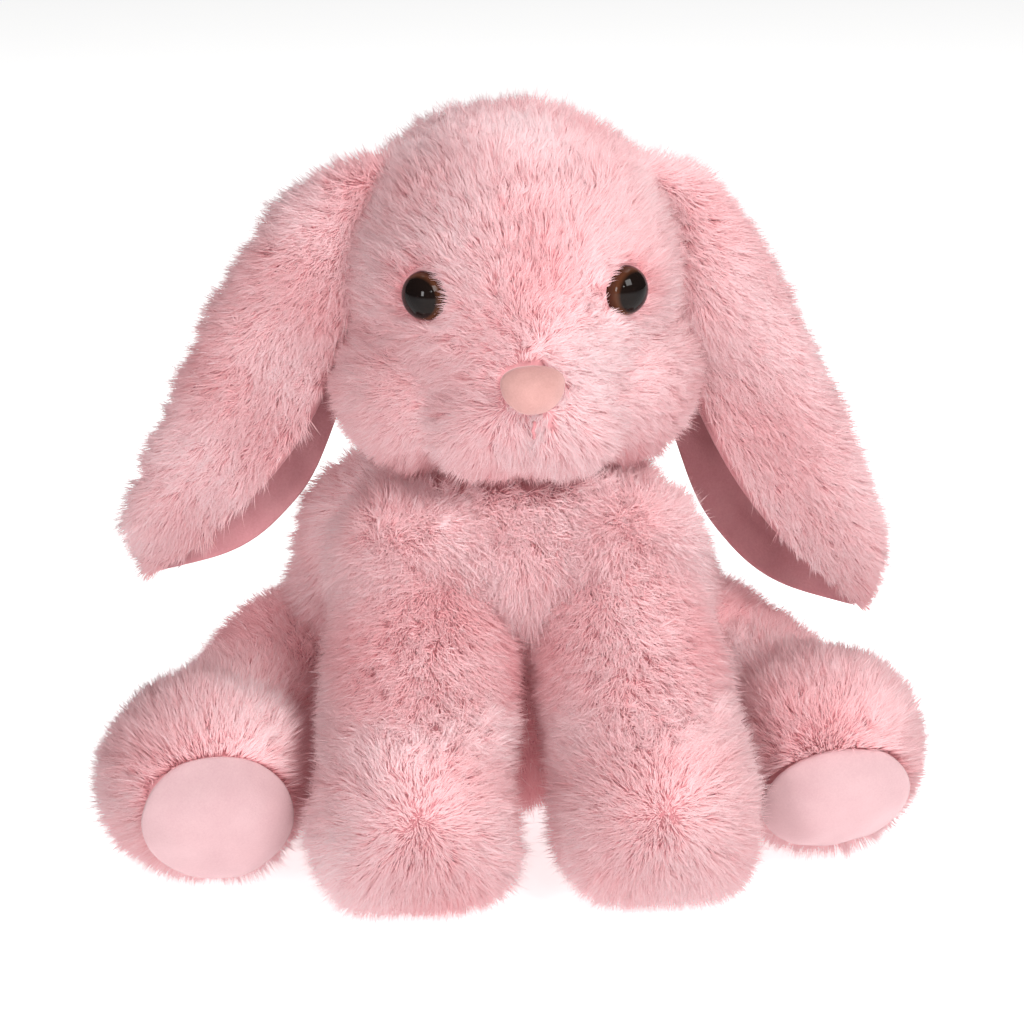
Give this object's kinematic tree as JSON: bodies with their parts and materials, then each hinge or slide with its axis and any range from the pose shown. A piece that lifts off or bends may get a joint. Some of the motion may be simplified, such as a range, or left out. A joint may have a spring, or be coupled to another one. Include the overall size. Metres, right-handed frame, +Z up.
{
  "type": "stuffed bunny rabbit",
  "caption": "Sitting lop-eared plush bunny with fur covers, velour ear linings, nose and soles, safety eyes, and a soft head, ears and legs that lift.",
  "frame": {"origin": "on the floor, at the centre of the toy's footprint box", "axes": "+Z up, the bunny faces -Y, and its own left is +X"},
  "size_m": [0.2938, 0.2159, 0.265],
  "materials": {
    "fur": "deep pink plush pile with lighter tips",
    "ear_velour": "short pink velour",
    "sole_velour": "short pale pink velour",
    "nose_velour": "short peach velour",
    "thread": "pink sewing thread",
    "eye": "polished near-black plastic with a brown rim",
    "washer": "natural moulded plastic",
    "filling": "white polyester fibre filling",
    "pouch": "woven bag of plastic pellets"
  },
  "bodies": {
    "torso": {"body_cover": "fur", "body_stuffing": "filling", "seat_pellet_pouch": "pouch", "tail_cover": "fur", "tail_stuffing": "filling"},
    "neck": {"neck_stuffing": "filling"},
    "head": {"head_cover": "fur", "head_stuffing": "filling", "nose": "nose_velour", "mouth_stitch": "thread", "right_eye": "eye", "left_eye": "eye", "right_eye_washer": "washer", "left_eye_washer": "washer"},
    "right_ear": {"right_ear_back": "fur", "right_ear_lining": "ear_velour"},
    "right_arm": {"right_arm_cover": "fur", "right_arm_stuffing": "filling"},
    "right_leg": {"right_leg_cover": "fur", "right_leg_stuffing": "filling", "right_sole_pad": "sole_velour"},
    "left_ear": {"left_ear_back": "fur", "left_ear_lining": "ear_velour"},
    "left_arm": {"left_arm_cover": "fur", "left_arm_stuffing": "filling"},
    "left_leg": {"left_leg_cover": "fur", "left_leg_stuffing": "filling", "left_sole_pad": "sole_velour"}
  },
  "joints": [
    {"name": "head_turn", "type": "hinge", "parent": "torso", "child": "neck", "pos_m": [0, 0.003, 0.134], "axis": [0, 0, 1], "range_deg": [-15, 15]},
    {"name": "head_nod", "type": "hinge", "parent": "neck", "child": "head", "pos_m": [0, 0.003, 0.134], "axis": [1, 0, 0], "range_deg": [-6, 6]},
    {"name": "right_ear_lift", "type": "hinge", "parent": "head", "child": "right_ear", "pos_m": [-0.049, -0.002, 0.244], "axis": [0, 1, 0], "range_deg": [0, 70]},
    {"name": "left_ear_lift", "type": "hinge", "parent": "head", "child": "left_ear", "pos_m": [0.049, -0.002, 0.244], "axis": [0, -1, 0], "range_deg": [0, 70]},
    {"name": "right_arm_raise", "type": "hinge", "parent": "torso", "child": "right_arm", "pos_m": [-0.036, -0.028, 0.104], "axis": [-1, 0, 0], "range_deg": [0, 60]},
    {"name": "left_arm_raise", "type": "hinge", "parent": "torso", "child": "left_arm", "pos_m": [0.036, -0.028, 0.104], "axis": [-1, 0, 0], "range_deg": [0, 60]},
    {"name": "right_leg_raise", "type": "hinge", "parent": "torso", "child": "right_leg", "pos_m": [-0.071, 0.024, 0.041], "axis": [-1, 0, 0], "range_deg": [0, 20]},
    {"name": "left_leg_raise", "type": "hinge", "parent": "torso", "child": "left_leg", "pos_m": [0.071, 0.024, 0.041], "axis": [-1, 0, 0], "range_deg": [0, 20]}
  ]
}
